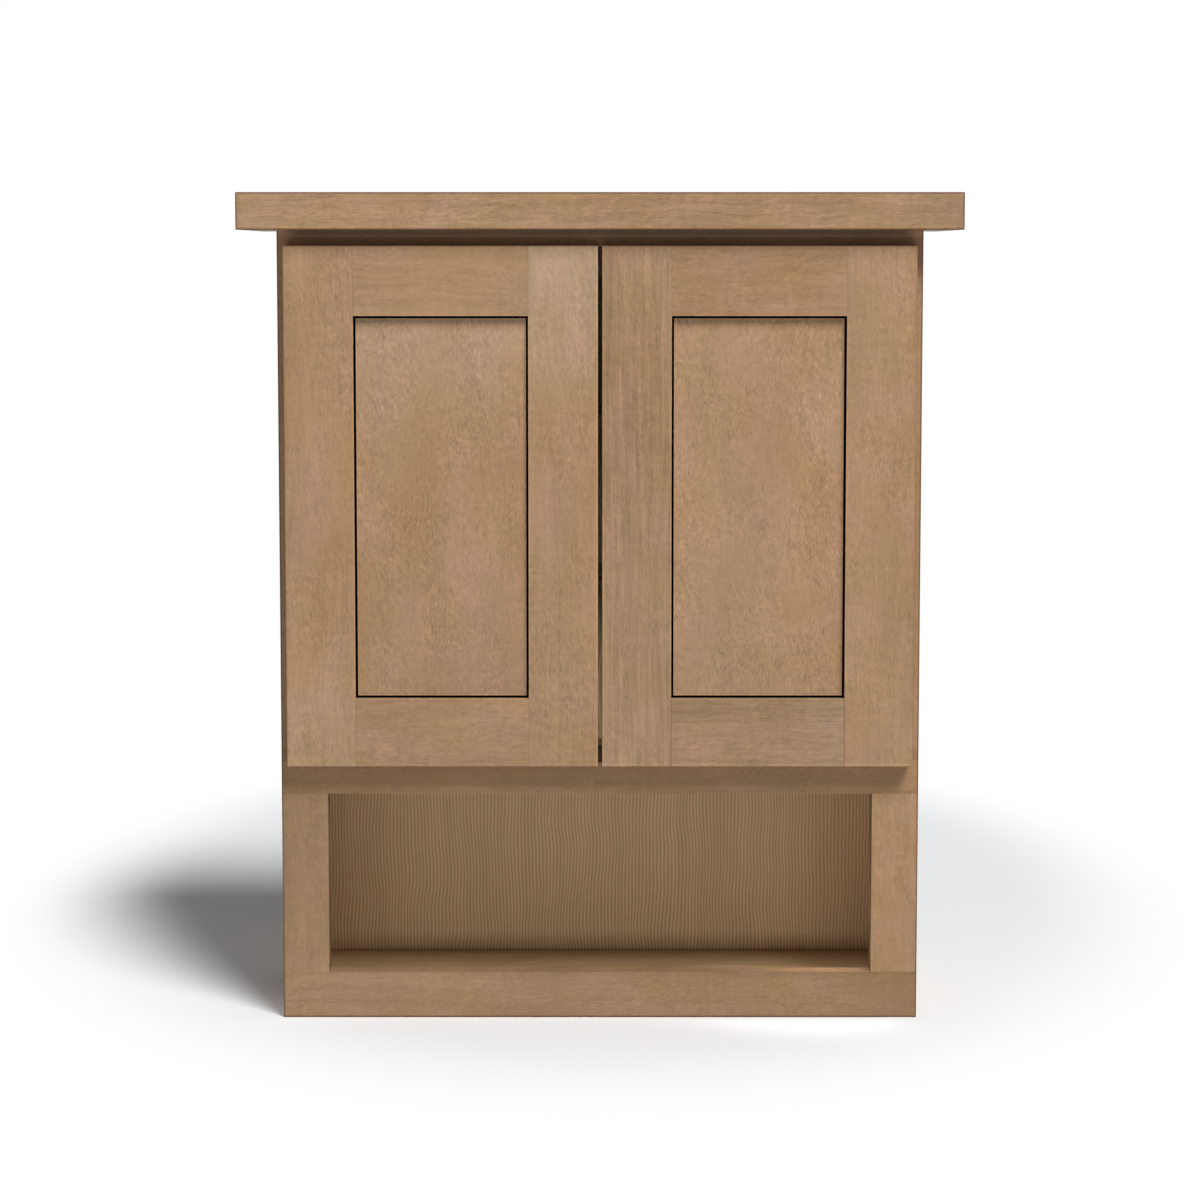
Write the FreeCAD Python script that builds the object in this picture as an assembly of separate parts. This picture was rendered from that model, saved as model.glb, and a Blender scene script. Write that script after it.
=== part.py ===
import FreeCAD, Part
import os
from math import cos, radians, sin

# Wall cabinet with two panelled doors over an open niche.
# +X is to the right, +Y into the wall, +Z up. The origin is the middle of the footprint, at the bottom.
# All sizes are in millimetres.

# Case
case_width = 609.6
case_depth = 215.9
case_height = 770.5
frame_thickness = 19.05
stile_width = 44.45
bottom_rail_height = 44.45
niche_height = 173.5
mid_rail_height = 44.45
top_rail_height = 60.3
frame_easing = 0.9
side_thickness = 12.7
deck_thickness = 12.7
deck_lip = 19.05
dado_depth = 6.35
back_thickness = 6.35

# Hanging rails and their wall screw holes
hanging_rail_thickness = 15.9
hanging_rail_height = 76.2
lower_rail_above_deck = 3.0
wall_hole_spacing = 406.4
wall_hole_radius = 2.5

# Top board and crown
top_board_thickness = 19.05
crown_height = 34.9
crown_overhang = 34.9
crown_easing = 0.9
dowel_radius = 4.0
dowel_length = 30.0
dowels_in_front = 4
dowels_in_side = 2
spline_thickness = 3.2
spline_length = 26.0
spline_height = 20.0

# Doors
door_thickness = 19.05
door_gap = 3.0
door_side_reveal = 7.3
door_centre_gap = 3.8
door_top_reveal = 14.75
door_bottom_overlay = 15.3
door_member_width = 65.5
door_front_easing = 1.0
door_back_rounding = 3.0
panel_thickness = 6.35
panel_recess = 6.35
panel_tongue = 6.0
groove_depth = 11.0
groove_clearance = 0.1
tenon_clearance = 0.3
glaze_line_width = 1.9
glaze_line_depth = 0.8
spacer_clearance = 0.05
bumper_radius = 4.5
bumper_inset = 7.5
bumper_clearance = 0.1
bumper_rounding = 0.8

# Hinges: one pin in each cup, with the arm curled round it
hinge_from_door_end = 88.9
pin_from_edge = 8.2
pin_depth = 8.0
pin_radius = 1.5
pin_length = 14.0
pin_clearance = 0.02
knuckle_clearance = 0.05
strap_thickness = 1.6
strap_width = 10.0
strap_side_clearance = 0.4
strap_bend_radius = 0.6
cup_radius = 17.4
cup_from_edge = 3.1
cup_floor = 0.85
cup_clearance = 0.1
slot_clearance = 0.4
slot_end_clearance = 1.4
riser_from_cup_centre = 9.0
wing_thickness = 1.2
wing_half_height = 30.0
wing_outer_reach = 8.5
wing_inner_reach = 13.5
wing_corner_radius = 6.0
wing_screw_height = 22.5
plate_half_height = 22.0
plate_margin = 1.0
plate_corner_radius = 3.0
plate_screw_height = 15.0

# Screws
screw_hole_clearance = 0.1
recess_width = 0.9
recess_margin = 1.0
recess_floor = 0.4
pocket_screw_spacing = 14.0
pocket_angle = 15.0
pocket_radius = 4.75
pocket_length = 45.0
pocket_shoulder = 14.0
pocket_screw_head_radius = 4.2
pocket_screw_head_height = 2.5
pocket_screw_radius = 1.9
pocket_screw_length = 32.0
top_screw_head_radius = 4.0
top_screw_head_height = 2.5
top_screw_radius = 2.1
top_screw_length = 24.0
top_screws_across = 3
top_screw_edge_distance = 40.0
hinge_screw_radius = 1.75
plate_screw_head_radius = 3.2
plate_screw_head_height = 1.8
plate_screw_length = 15.0
cup_screw_head_radius = 3.0
cup_screw_head_height = 1.0
cup_screw_length = 12.0

# Shelves and their pins
shelf_thickness = 15.9
shelf_end_clearance = 1.5
shelf_front_clearance = 3.0
shelf_back_clearance = 2.0
shelf_edging_thickness = 6.35
lower_shelf_row = 2
upper_shelf_row = 7
pin_row_pitch = 32.0
pin_row_margin = 96.0
pin_column_inset = 37.0
shelf_pin_radius = 2.5
shelf_pin_depth = 8.0
shelf_pin_clearance = 0.05
shelf_pin_plate = 1.6
shelf_pin_tab_length = 12.0
shelf_pin_tab_width = 12.0
shelf_pin_plate_drop = 8.0

# Planes worked out from the sizes above
side_x = case_width / 2
inside_x = side_x - side_thickness
dado_x = inside_x + dado_depth
niche_x = side_x - stile_width
wall_y = (case_depth + crown_overhang) / 2
frame_y = wall_y - case_depth
case_y = frame_y + frame_thickness
crown_y = frame_y - crown_overhang
hanging_y = wall_y - hanging_rail_thickness
back_y = hanging_y - back_thickness
niche_top_z = bottom_rail_height + niche_height
mid_rail_top_z = niche_top_z + mid_rail_height
top_rail_z = case_height - top_rail_height
bottom_deck_top_z = bottom_rail_height - deck_lip
mid_deck_top_z = mid_rail_top_z - deck_lip
top_deck_z = case_height - deck_thickness
top_z = case_height + top_board_thickness
crown_z = top_z - crown_height
upper_hanging_z = case_height - hanging_rail_height / 2
lower_hanging_z = mid_deck_top_z + lower_rail_above_deck + hanging_rail_height / 2

door_outer_x = -side_x + door_side_reveal
door_inner_x = -door_centre_gap / 2
opening_outer_x = door_outer_x + door_member_width
opening_inner_x = door_inner_x - door_member_width
door_back_y = frame_y - door_gap
door_y = door_back_y - door_thickness
panel_y = door_y + panel_recess
door_z = mid_rail_top_z - door_bottom_overlay
door_top_z = crown_z - door_top_reveal
opening_z = door_z + door_member_width
opening_top_z = door_top_z - door_member_width
hinge_heights = {"upper": door_top_z - hinge_from_door_end, "lower": door_z + hinge_from_door_end}

pin_x = door_outer_x + pin_from_edge
pin_y = door_back_y - pin_depth
knuckle_radius = pin_radius + knuckle_clearance + strap_thickness
strap_half = strap_width / 2
slot_half = strap_half + strap_side_clearance
cup_x = door_outer_x + cup_from_edge + cup_radius
slot_depth = pin_depth + knuckle_radius + slot_clearance
cup_depth = slot_depth + cup_floor
riser_x = cup_x + riser_from_cup_centre
plate_x = -niche_x
wing_screw_x = cup_x + (wing_inner_reach - wing_outer_reach) / 2

nodes = {}


def vector(x, y, z):
    return FreeCAD.Vector(x, y, z)


def block(x0, x1, y0, y1, z0, z1):
    return Part.makeBox(x1 - x0, y1 - y0, z1 - z0, vector(x0, y0, z0))


def rod(radius, start, direction, length):
    return Part.makeCylinder(radius, length, start, direction)


def mirrored(shape):
    return shape.mirror(vector(0, 0, 0), vector(1, 0, 0))


def both_sides(shapes):
    return shapes + [mirrored(shape) for shape in shapes]


def edges_at(shape, x=None, y=None, z=None):
    def lies_there(edge):
        wanted = ((x, "x"), (y, "y"), (z, "z"))
        return all(
            abs(getattr(corner.Point, axis) - value) < 1e-6
            for corner in edge.Vertexes
            for value, axis in wanted
            if value is not None
        )

    return [edge for edge in shape.Edges if lies_there(edge)]


def spread(first, last, count):
    step = (last - first) / (count - 1)
    return [first + step * index for index in range(count)]


class Screw:
    # The point is where the head bears, and the shank runs from it along the direction.
    def __init__(self, point, direction, head_radius, head_height, shank_radius, shank_length):
        self.head_end = point - direction * head_height
        self.direction = direction
        self.head_radius = head_radius
        self.head_height = head_height
        head = rod(head_radius, self.head_end, direction, head_height)
        shank = rod(shank_radius, point, direction, shank_length)
        self.body = head.fuse(shank).removeSplitter()

    def finished(self):
        # The body with a cross recess in its head.
        length = 2 * (self.head_radius - recess_margin)
        depth = self.head_height - recess_floor
        turn = FreeCAD.Rotation(vector(0, 0, 1), self.direction)
        bars = []
        for size_x, size_y in ((length, recess_width), (recess_width, length)):
            bar = Part.makeBox(size_x, size_y, depth, vector(-size_x / 2, -size_y / 2, 0))
            bar.Placement = FreeCAD.Placement(self.head_end, turn).multiply(bar.Placement)
            bars.append(bar)
        return self.body.cut(bars)


def bodies(screws):
    return [one.body for one in screws]


def finished(screws):
    return [one.finished() for one in screws]


# Face frame: the rails run across and the stiles stand between them


def frame_rail(z0, z1, eased_bottom):
    rail = block(-side_x, side_x, frame_y, case_y, z0, z1)
    eased = edges_at(rail, x=-side_x, y=frame_y) + edges_at(rail, x=side_x, y=frame_y)
    if eased_bottom:
        eased += edges_at(rail, y=frame_y, z=z0)
    return rail.makeFillet(frame_easing, eased)


def left_stile(z0, z1):
    stile = block(-side_x, -niche_x, frame_y, case_y, z0, z1)
    return stile.makeFillet(frame_easing, edges_at(stile, x=-side_x, y=frame_y))


def pocket_axes(z0, z1):
    # Each stile end has two screws that slope from the back face into the rail beyond it.
    middle_x = (-side_x + side_thickness - niche_x) / 2
    middle_y = (frame_y + case_y) / 2
    slope = radians(pocket_angle)
    axes = []
    for x in (middle_x - pocket_screw_spacing / 2, middle_x + pocket_screw_spacing / 2):
        for joint_z, way in ((z0, -1), (z1, 1)):
            direction = vector(0, -sin(slope), way * cos(slope))
            axes.append((vector(x, middle_y, joint_z) - direction * pocket_shoulder, direction))
    return axes


def pocket_screw(axis):
    shoulder, direction = axis
    return Screw(
        shoulder,
        direction,
        pocket_screw_head_radius,
        pocket_screw_head_height,
        pocket_screw_radius,
        pocket_screw_length,
    )


def pocket_hole(axis):
    shoulder, direction = axis
    return rod(pocket_radius, shoulder, direction * -1, pocket_length)


stile_spans = {"lower": (bottom_rail_height, niche_top_z), "upper": (mid_rail_top_z, top_rail_z)}
left_axes = {level: pocket_axes(*span) for level, span in stile_spans.items()}
left_pocket_screws = {level: [pocket_screw(axis) for axis in axes] for level, axes in left_axes.items()}
left_pocket_list = left_pocket_screws["lower"] + left_pocket_screws["upper"]

# Hinge arm: a strap curled round the pin, then up out of the cup, through the door gap and onto the stile


def plate_screws(z):
    heads_x = plate_x + strap_thickness
    middle_y = (frame_y + case_y) / 2
    return [
        Screw(
            vector(heads_x, middle_y, z + rise),
            vector(-1, 0, 0),
            plate_screw_head_radius,
            plate_screw_head_height,
            hinge_screw_radius,
            plate_screw_length,
        )
        for rise in (-plate_screw_height, plate_screw_height)
    ]


def hinge_arm(z):
    z0 = z - strap_half
    z1 = z + strap_half
    run_y = pin_y - knuckle_radius
    strap_y = door_back_y + (door_gap - strap_thickness) / 2
    strap_end_y = strap_y + strap_thickness
    riser_end_x = riser_x + strap_thickness
    plate_end_x = plate_x + strap_thickness
    plate_y = frame_y + plate_margin
    plate_end_y = case_y - plate_margin
    knuckle = rod(knuckle_radius, vector(pin_x, pin_y, z0), vector(0, 0, 1), strap_width)
    pieces = [
        block(pin_x, riser_end_x, run_y, run_y + strap_thickness, z0, z1),
        block(riser_x, riser_end_x, run_y, strap_end_y, z0, z1),
        block(min(riser_x, plate_x), max(riser_end_x, plate_end_x), strap_y, strap_end_y, z0, z1),
        block(plate_x, plate_end_x, strap_y, plate_end_y, z0, z1),
        block(plate_x, plate_end_x, plate_y, plate_end_y, z - plate_half_height, z + plate_half_height),
    ]
    arm = knuckle.fuse(pieces).removeSplitter()
    inside_bends = [(riser_x, run_y + strap_thickness), (riser_end_x, strap_y), (plate_x, strap_end_y)]
    outside_bends = [(riser_end_x, run_y), (riser_x, strap_end_y), (plate_end_x, strap_y)]
    for bends, radius in (
        (inside_bends, strap_bend_radius),
        (outside_bends, strap_bend_radius + strap_thickness),
    ):
        arm = arm.makeFillet(radius, [edge for x, y in bends for edge in edges_at(arm, x=x, y=y)])
    corners = [(y, rise) for y in (plate_y, plate_end_y) for rise in (-plate_half_height, plate_half_height)]
    arm = arm.makeFillet(
        plate_corner_radius, [edge for y, rise in corners for edge in edges_at(arm, y=y, z=z + rise)]
    )
    bore = rod(pin_radius + knuckle_clearance, vector(pin_x, pin_y, z0), vector(0, 0, 1), strap_width)
    hole_length = strap_thickness + plate_screw_length
    holes = [
        rod(
            hinge_screw_radius + screw_hole_clearance,
            vector(plate_end_x, (frame_y + case_y) / 2, z + rise),
            vector(-1, 0, 0),
            hole_length,
        )
        for rise in (-plate_screw_height, plate_screw_height)
    ]
    return arm.cut([bore] + holes)


left_plate_screws = [one for z in hinge_heights.values() for one in plate_screws(z)]

for level, span in stile_spans.items():
    holes = [pocket_hole(axis) for axis in left_axes[level]]
    stile = left_stile(*span).cut(holes + bodies(left_pocket_screws[level]))
    if level == "upper":
        stile = stile.cut(bodies(left_plate_screws))
    nodes["face_frame_left_" + level + "_stile"] = stile
    nodes["face_frame_right_" + level + "_stile"] = mirrored(stile)

rail_spans = {
    "bottom": (0, bottom_rail_height),
    "middle": (niche_top_z, mid_rail_top_z),
    "top": (top_rail_z, case_height),
}
for place, span in rail_spans.items():
    rail = frame_rail(*span, eased_bottom=place == "bottom")
    nodes["face_frame_" + place + "_rail"] = rail.cut(both_sides(bodies(left_pocket_list)))

nodes["pocket_screws"] = Part.makeCompound(both_sides(finished(left_pocket_list)))
nodes["hinge_arm_screws"] = Part.makeCompound(both_sides(finished(left_plate_screws)))
for level, z in hinge_heights.items():
    arm = hinge_arm(z)
    nodes["left_" + level + "_hinge_arm"] = arm
    nodes["right_" + level + "_hinge_arm"] = mirrored(arm)

# Decks, sides and back: the decks sit in dados and the back in a groove

deck_tops = {"bottom": bottom_deck_top_z, "middle": mid_deck_top_z, "top": case_height}


def deck(top):
    return block(-dado_x, dado_x, case_y, back_y, top - deck_thickness, top)


def back_panel():
    return block(-dado_x, dado_x, back_y, hanging_y, 0, case_height)


def pin_rows():
    first = mid_deck_top_z + pin_row_margin
    last = top_deck_z - pin_row_margin
    count = int((last - first) / pin_row_pitch) + 1
    return [first + pin_row_pitch * row for row in range(count)]


pin_columns = (case_y + pin_column_inset, back_y - pin_column_inset)


def pin_hole(y, z):
    start = vector(-inside_x, y, z)
    return rod(shelf_pin_radius + shelf_pin_clearance, start, vector(-1, 0, 0), shelf_pin_depth)


def left_side():
    panel = block(-side_x, -inside_x, case_y, wall_y, 0, case_height)
    housings = [deck(top) for top in deck_tops.values()] + [back_panel()]
    pin_holes = [pin_hole(y, z) for y in pin_columns for z in pin_rows()]
    return panel.cut(housings + pin_holes)


top_screw_rows = (case_y + top_screw_edge_distance, back_y - top_screw_edge_distance)
top_screw_columns = spread(
    -inside_x + top_screw_edge_distance, inside_x - top_screw_edge_distance, top_screws_across
)
top_screws = [
    Screw(
        vector(x, y, top_deck_z + top_screw_head_height),
        vector(0, 0, 1),
        top_screw_head_radius,
        top_screw_head_height,
        top_screw_radius,
        top_screw_length,
    )
    for x in top_screw_columns
    for y in top_screw_rows
]

side = left_side()
nodes["left_side_panel"] = side
nodes["right_side_panel"] = mirrored(side)
for place, top in deck_tops.items():
    nodes[place + "_deck"] = deck(top)
nodes["top_deck"] = nodes["top_deck"].cut(bodies(top_screws))

wall_holes = [
    rod(wall_hole_radius, vector(x, back_y, z), vector(0, 1, 0), back_thickness + hanging_rail_thickness)
    for x in (-wall_hole_spacing / 2, wall_hole_spacing / 2)
    for z in (lower_hanging_z, upper_hanging_z)
]
nodes["back_panel"] = back_panel().cut(wall_holes)
for place, z in (("upper", upper_hanging_z), ("lower", lower_hanging_z)):
    rail = block(
        -inside_x, inside_x, hanging_y, wall_y, z - hanging_rail_height / 2, z + hanging_rail_height / 2
    )
    nodes[place + "_hanging_rail"] = rail.cut(wall_holes)

# Top board, and the crown mitred round its front and sides

crown_x = side_x + crown_overhang
dowel_z = case_height + top_board_thickness / 2


def crown_ring():
    outer = block(-crown_x, crown_x, crown_y, wall_y, crown_z, top_z)
    front_edges = edges_at(outer, y=crown_y)
    side_edges = [
        edge for x in (-crown_x, crown_x) for z in (crown_z, top_z) for edge in edges_at(outer, x=x, z=z)
    ]
    eased = outer.makeFillet(crown_easing, front_edges + side_edges)
    return eased.cut(block(-side_x, side_x, frame_y, wall_y, crown_z, top_z))


def crown_zone(corners):
    points = [vector(x, y, crown_z) for x, y in corners]
    face = Part.Face(Part.makePolygon(points + points[:1]))
    return face.extrude(vector(0, 0, crown_height))


def mitre_spline():
    # Lies flat across the left mitre, centred on it.
    spline = Part.makeBox(
        spline_length,
        spline_height,
        spline_thickness,
        vector(-spline_length / 2, -spline_height / 2, -spline_thickness / 2),
    )
    spline.rotate(vector(0, 0, 0), vector(0, 0, 1), -45)
    mitre_middle = vector(-side_x - crown_overhang / 2, frame_y - crown_overhang / 2, (crown_z + top_z) / 2)
    spline.translate(mitre_middle)
    return spline


def front_dowels():
    reach = inside_x - top_screw_edge_distance
    start_y = frame_y - dowel_length / 2
    return [
        rod(dowel_radius, vector(x, start_y, dowel_z), vector(0, 1, 0), dowel_length)
        for x in spread(-reach, reach, dowels_in_front)
    ]


def left_dowels():
    start_x = -side_x - dowel_length / 2
    return [
        rod(dowel_radius, vector(start_x, y, dowel_z), vector(1, 0, 0), dowel_length)
        for y in spread(case_y + top_screw_edge_distance, wall_y - top_screw_edge_distance, dowels_in_side)
    ]


dowels = front_dowels() + both_sides(left_dowels())
splines = both_sides([mitre_spline()])
ring = crown_ring()
front_zone = crown_zone([(-crown_x, crown_y), (crown_x, crown_y), (side_x, frame_y), (-side_x, frame_y)])
left_zone = crown_zone([(-crown_x, crown_y), (-side_x, frame_y), (-side_x, wall_y), (-crown_x, wall_y)])
crown_left = ring.common(left_zone).cut(dowels + splines)
top_board = block(-side_x, side_x, frame_y, wall_y, case_height, top_z)
nodes["crown_front"] = ring.common(front_zone).cut(dowels + splines)
nodes["crown_left"] = crown_left
nodes["crown_right"] = mirrored(crown_left)
nodes["top_board"] = top_board.cut(dowels + bodies(top_screws))
nodes["top_dowels"] = Part.makeCompound(dowels)
nodes["crown_splines"] = Part.makeCompound(splines)
nodes["top_screws"] = Part.makeCompound(finished(top_screws))

# Left door, which is mirrored for the right one


def groove(x0, x1, z0, z1):
    return block(x0, x1, panel_y - groove_clearance, panel_y + panel_thickness + groove_clearance, z0, z1)


def door_stile(x0, x1, outer_x, back_rounding):
    stile = block(x0, x1, door_y, door_back_y, door_z, door_top_z)
    front = edges_at(stile, x=outer_x, y=door_y)
    front += edges_at(stile, y=door_y, z=door_z) + edges_at(stile, y=door_y, z=door_top_z)
    stile = stile.makeFillet(door_front_easing, front)
    return stile.makeFillet(back_rounding, edges_at(stile, x=outer_x, y=door_back_y))


def door_rail(z0, z1, outer_z):
    rail = block(opening_outer_x, opening_inner_x, door_y, door_back_y, z0, z1)
    rail = rail.makeFillet(door_front_easing, edges_at(rail, y=door_y, z=outer_z))
    reach = groove_depth - tenon_clearance
    tongue = block(
        opening_outer_x - reach, opening_inner_x + reach, panel_y, panel_y + panel_thickness, z0, z1
    )
    return rail.fuse(tongue).removeSplitter()


def door_panel():
    panel = block(
        opening_outer_x - panel_tongue,
        opening_inner_x + panel_tongue,
        panel_y,
        panel_y + panel_thickness,
        opening_z - panel_tongue,
        opening_top_z + panel_tongue,
    )
    line_y = panel_y + glaze_line_depth
    line_outside = block(opening_outer_x, opening_inner_x, panel_y, line_y, opening_z, opening_top_z)
    line_inside = block(
        opening_outer_x + glaze_line_width,
        opening_inner_x - glaze_line_width,
        panel_y,
        line_y,
        opening_z + glaze_line_width,
        opening_top_z - glaze_line_width,
    )
    return panel.cut(line_outside.cut(line_inside))


def panel_spacers():
    radius = (groove_depth - panel_tongue) / 2 - spacer_clearance
    middle_y = panel_y + panel_thickness / 2
    offset = (panel_tongue + groove_depth) / 2
    middle_x = (opening_outer_x + opening_inner_x) / 2
    heights = spread(opening_z, opening_top_z, 4)[1:3]
    places = [(x, z) for x in (opening_outer_x - offset, opening_inner_x + offset) for z in heights]
    places += [(middle_x, opening_z - offset), (middle_x, opening_top_z + offset)]
    return [Part.makeSphere(radius, vector(x, middle_y, z)) for x, z in places]


def bumper(z):
    x = door_inner_x - bumper_inset
    pad = rod(bumper_radius, vector(x, door_back_y, z), vector(0, 1, 0), door_gap - bumper_clearance)
    return pad.makeFillet(bumper_rounding, edges_at(pad, y=door_back_y + door_gap - bumper_clearance))


def cup_screws(z):
    return [
        Screw(
            vector(wing_screw_x, door_back_y + wing_thickness, z + rise),
            vector(0, -1, 0),
            cup_screw_head_radius,
            cup_screw_head_height,
            hinge_screw_radius,
            cup_screw_length,
        )
        for rise in (-wing_screw_height, wing_screw_height)
    ]


def hinge_cup(z):
    wing_x0 = cup_x - wing_outer_reach
    wing_x1 = cup_x + wing_inner_reach
    wing_end_y = door_back_y + wing_thickness
    puck = rod(cup_radius, vector(cup_x, door_back_y - cup_depth, z), vector(0, 1, 0), cup_depth)
    wing = block(wing_x0, wing_x1, door_back_y, wing_end_y, z - wing_half_height, z + wing_half_height)
    corners = [(x, rise) for x in (wing_x0, wing_x1) for rise in (-wing_half_height, wing_half_height)]
    wing = wing.makeFillet(
        wing_corner_radius, [edge for x, rise in corners for edge in edges_at(wing, x=x, z=z + rise)]
    )
    slot = block(
        pin_x - knuckle_radius - slot_clearance,
        riser_x + strap_thickness + slot_end_clearance,
        door_back_y - slot_depth,
        door_back_y,
        z - slot_half,
        z + slot_half,
    )
    wing_slot = block(wing_x0, wing_x1, door_back_y, wing_end_y, z - slot_half, z + slot_half)
    pin_bore = rod(
        pin_radius + pin_clearance, vector(pin_x, pin_y, z - pin_length / 2), vector(0, 0, 1), pin_length
    )
    screw_holes = [
        rod(
            hinge_screw_radius + screw_hole_clearance,
            vector(wing_screw_x, wing_end_y, z + rise),
            vector(0, -1, 0),
            cup_screw_length,
        )
        for rise in (-wing_screw_height, wing_screw_height)
    ]
    return puck.fuse(wing).removeSplitter().cut([slot, wing_slot, pin_bore] + screw_holes)


def hinge_pin(z):
    return rod(pin_radius, vector(pin_x, pin_y, z - pin_length / 2), vector(0, 0, 1), pin_length)


def cup_bore(z):
    depth = cup_depth + cup_clearance
    return rod(cup_radius + cup_clearance, vector(cup_x, door_back_y - depth, z), vector(0, 1, 0), depth)


left_cup_screws = [one for z in hinge_heights.values() for one in cup_screws(z)]
cup_bores = [cup_bore(z) for z in hinge_heights.values()]

hinge_stile = door_stile(door_outer_x, opening_outer_x, door_outer_x, door_back_rounding)
hinge_stile = hinge_stile.cut(groove(opening_outer_x - groove_depth, opening_outer_x, door_z, door_top_z))
meeting_stile = door_stile(opening_inner_x, door_inner_x, door_inner_x, door_front_easing)
meeting_stile = meeting_stile.cut(
    groove(opening_inner_x, opening_inner_x + groove_depth, door_z, door_top_z)
)
rail_reach_x0 = opening_outer_x - groove_depth
rail_reach_x1 = opening_inner_x + groove_depth
lower_rail_groove = groove(rail_reach_x0, rail_reach_x1, opening_z - groove_depth, opening_z)
upper_rail_groove = groove(rail_reach_x0, rail_reach_x1, opening_top_z, opening_top_z + groove_depth)

left_door = {
    "hinge_stile": hinge_stile.cut(cup_bores + bodies(left_cup_screws)),
    "meeting_stile": meeting_stile,
    "bottom_rail": door_rail(door_z, opening_z, door_z).cut(lower_rail_groove),
    "top_rail": door_rail(opening_top_z, door_top_z, door_top_z).cut(upper_rail_groove),
    "panel": door_panel(),
    "panel_spacers": Part.makeCompound(panel_spacers()),
    "bumpers": Part.makeCompound([bumper(door_z + bumper_inset), bumper(door_top_z - bumper_inset)]),
    "hinge_cup_screws": Part.makeCompound(finished(left_cup_screws)),
}
for level, z in hinge_heights.items():
    left_door[level + "_hinge_cup"] = hinge_cup(z)
    left_door[level + "_hinge_pin"] = hinge_pin(z)
for name, shape in left_door.items():
    nodes["left_door_" + name] = shape
    nodes["right_door_" + name] = mirrored(shape)

# Shelves on their pins


def shelf_pin(y, z):
    wall_x = -inside_x
    half = shelf_pin_tab_width / 2
    top = z + shelf_pin_radius
    peg = rod(shelf_pin_radius, vector(wall_x, y, z), vector(-1, 0, 0), shelf_pin_depth)
    plate = block(wall_x, wall_x + shelf_pin_plate, y - half, y + half, top - shelf_pin_plate_drop, top)
    tab = block(wall_x, wall_x + shelf_pin_tab_length, y - half, y + half, top - shelf_pin_plate, top)
    return peg.fuse([plate, tab]).removeSplitter()


shelf_x = inside_x - shelf_end_clearance
shelf_y = case_y + shelf_front_clearance
shelf_board_y = shelf_y + shelf_edging_thickness
shelf_back_y = back_y - shelf_back_clearance
shelf_pins = []
for place, row in (("lower", lower_shelf_row), ("upper", upper_shelf_row)):
    hole_z = pin_rows()[row]
    shelf_z = hole_z + shelf_pin_radius
    shelf_top_z = shelf_z + shelf_thickness
    shelf_pins += [shelf_pin(y, hole_z) for y in pin_columns]
    board = block(-shelf_x, shelf_x, shelf_board_y, shelf_back_y, shelf_z, shelf_top_z)
    nodes[place + "_shelf_board"] = board
    edging = block(-shelf_x, shelf_x, shelf_y, shelf_board_y, shelf_z, shelf_top_z)
    front_edges = edges_at(edging, y=shelf_y, z=shelf_z) + edges_at(edging, y=shelf_y, z=shelf_top_z)
    nodes[place + "_shelf_edging"] = edging.makeFillet(frame_easing, front_edges)
nodes["shelf_pins"] = Part.makeCompound(both_sides(shelf_pins))

os.makedirs("parts", exist_ok=True)
for name, shape in nodes.items():
    shape.exportStep("parts/" + name + ".step")
print(len(nodes), "nodes")
print("hinge pin, left door:", pin_x, pin_y)
print("wall holes z:", lower_hanging_z, upper_hanging_z, "wall y:", wall_y)
print("hinge heights:", hinge_heights)
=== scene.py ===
import math

import bmesh
import bpy
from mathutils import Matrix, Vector


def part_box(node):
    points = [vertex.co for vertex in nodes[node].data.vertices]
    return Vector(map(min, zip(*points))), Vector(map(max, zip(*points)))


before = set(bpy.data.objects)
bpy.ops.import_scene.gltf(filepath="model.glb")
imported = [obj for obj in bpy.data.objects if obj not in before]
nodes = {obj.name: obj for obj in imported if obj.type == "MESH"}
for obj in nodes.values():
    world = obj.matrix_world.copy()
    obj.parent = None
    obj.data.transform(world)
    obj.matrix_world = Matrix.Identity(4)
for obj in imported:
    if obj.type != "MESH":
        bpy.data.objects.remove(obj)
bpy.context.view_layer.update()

# Looks of a stained maple wall cabinet, in metres, +X right, +Y towards the wall, +Z up.
scene = bpy.context.scene
scene.view_settings.view_transform = "Standard"
print("loaded", len(nodes), "cabinet pieces")


def srgb(red, green, blue):
    def linear(level):
        share = level / 255
        return share / 12.92 if share <= 0.04045 else ((share + 0.055) / 1.055) ** 2.4

    return (linear(red), linear(green), linear(blue), 1.0)


# Shader helpers: a wire is a node's output, and sums of wires become Math nodes


class Wire:
    def __init__(self, shading, socket):
        self.shading = shading
        self.socket = socket

    def maths(self, operation, first, second):
        return self.shading.node("ShaderNodeMath", {"operation": operation}, {0: first, 1: second})

    def __add__(self, other):
        return self.maths("ADD", self, other)

    def __radd__(self, other):
        return self.maths("ADD", other, self)

    def __sub__(self, other):
        return self.maths("SUBTRACT", self, other)

    def __rsub__(self, other):
        return self.maths("SUBTRACT", other, self)

    def __mul__(self, other):
        return self.maths("MULTIPLY", self, other)

    def __rmul__(self, other):
        return self.maths("MULTIPLY", other, self)

    def __pow__(self, other):
        return self.maths("POWER", self, other)

    def __gt__(self, other):
        return self.maths("GREATER_THAN", self, other)

    def __abs__(self):
        return self.maths("ABSOLUTE", self, 0.0)

    def least(self, other):
        return self.maths("MINIMUM", self, other)

    def most(self, other):
        return self.maths("MAXIMUM", self, other)

    def sine(self):
        return self.maths("SINE", self, 0.0)

    def remainder(self, other):
        return self.maths("FLOORED_MODULO", self, other)


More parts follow.
